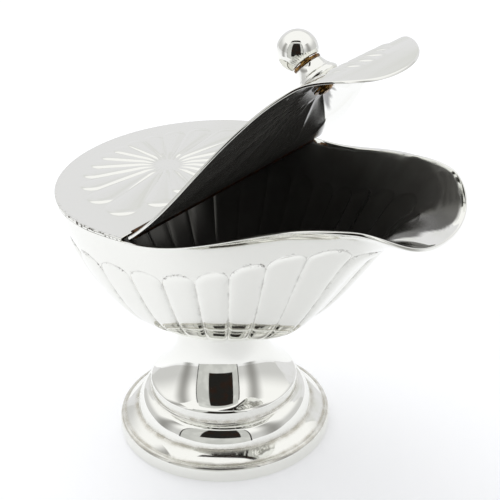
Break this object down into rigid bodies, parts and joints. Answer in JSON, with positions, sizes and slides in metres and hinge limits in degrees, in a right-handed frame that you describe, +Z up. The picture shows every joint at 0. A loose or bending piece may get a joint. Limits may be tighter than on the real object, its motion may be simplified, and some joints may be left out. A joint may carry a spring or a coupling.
{
  "type": "incense boat",
  "caption": "Footed boat-shaped vessel for incense grains, with a lobed bowl, a pouring spout, a fixed rear lid and a hinged front lid with a ball knob.",
  "frame": {"origin": "middle of the bounding box in plan, on the surface that the foot stands on", "axes": "+Z up, +X toward the pouring spout, +Y across the boat; the boat is the same on both sides of the XZ plane"},
  "size_m": [0.128, 0.0934, 0.14],
  "materials": {
    "nickel_plate": "mirror-polished nickel plate on spun and raised brass",
    "bare_brass": "turned brass, unplated and slightly tarnished"
  },
  "bodies": {
    "boat": {"foot": "nickel_plate", "bowl": "nickel_plate", "rear_lid": "nickel_plate", "rear_knuckle_near": "bare_brass", "rear_knuckle_middle": "bare_brass", "rear_knuckle_far": "bare_brass", "hinge_pin": "bare_brass", "stem_bolt": "bare_brass", "stem_washer": "bare_brass", "stem_nut": "bare_brass"},
    "lid": {"front_lid": "nickel_plate", "lid_knuckle_near": "bare_brass", "lid_knuckle_far": "bare_brass", "knob_base": "nickel_plate", "knob_collar": "bare_brass", "knob_ball": "nickel_plate", "knob_stud": "bare_brass", "knob_washer": "bare_brass"}
  },
  "joints": [
    {"name": "lid_hinge", "type": "hinge", "parent": "boat", "child": "lid", "pos_m": [-0.0105, 0, 0.088], "axis": [0, -1, 0], "range_deg": [-35.8, 73]}
  ]
}
